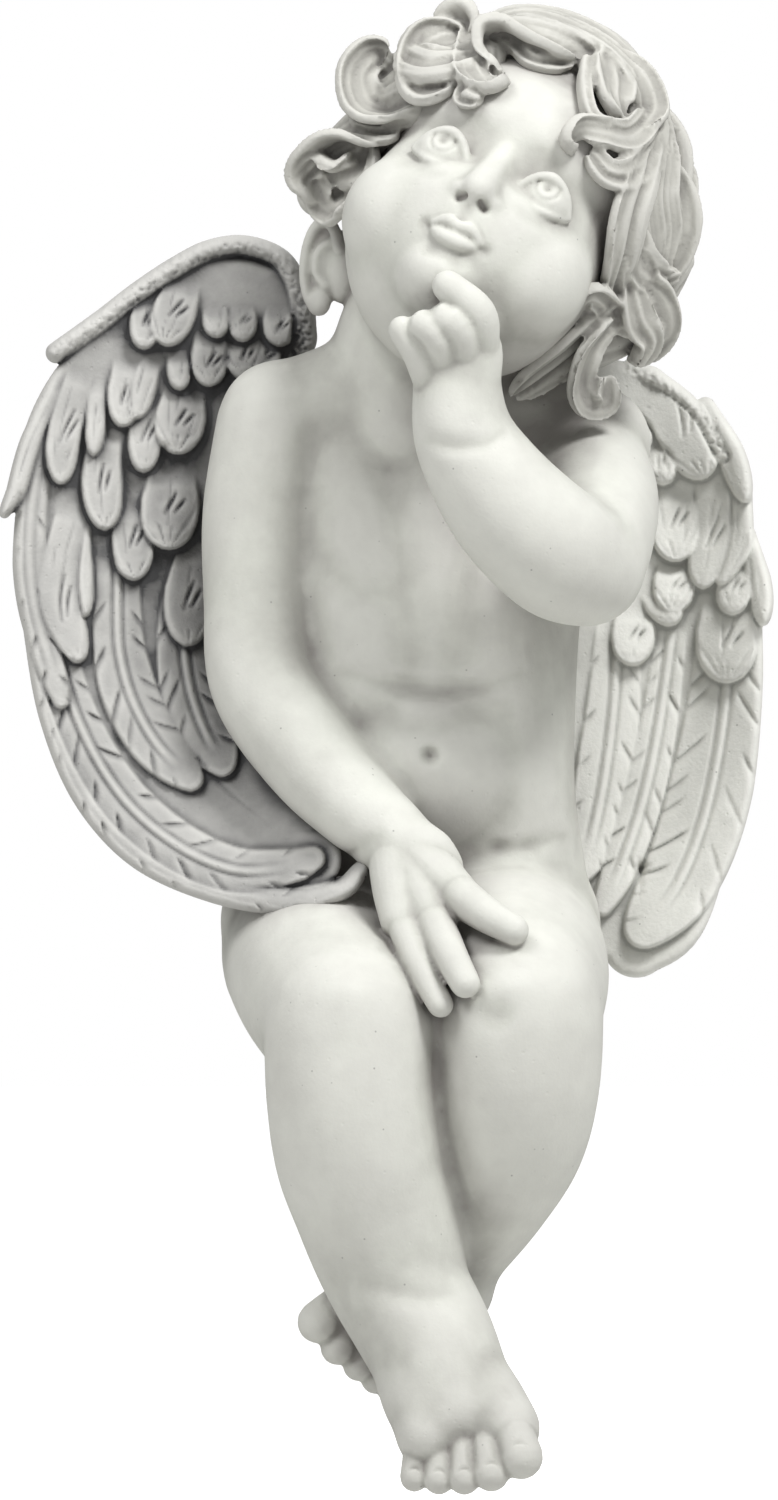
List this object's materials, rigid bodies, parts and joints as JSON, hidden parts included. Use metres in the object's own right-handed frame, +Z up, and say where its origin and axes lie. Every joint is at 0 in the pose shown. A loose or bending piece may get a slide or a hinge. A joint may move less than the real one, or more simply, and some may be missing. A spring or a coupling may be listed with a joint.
{
  "type": "angel statue",
  "caption": "Small winged child figure cast in one piece, seated with ankles crossed and a finger to its lip, made to sit on a ledge with its legs over the edge.",
  "frame": {"origin": "centre of the flat underside that rests on a ledge", "axes": "+Z up, the figure faces -Y, +X towards the figure's left"},
  "size_m": [0.1868, 0.1362, 0.3576],
  "materials": {
    "stone": "pale grey stone-finished cast resin, matte"
  },
  "bodies": {
    "root": {"angel_statue": "stone"}
  },
  "joints": []
}
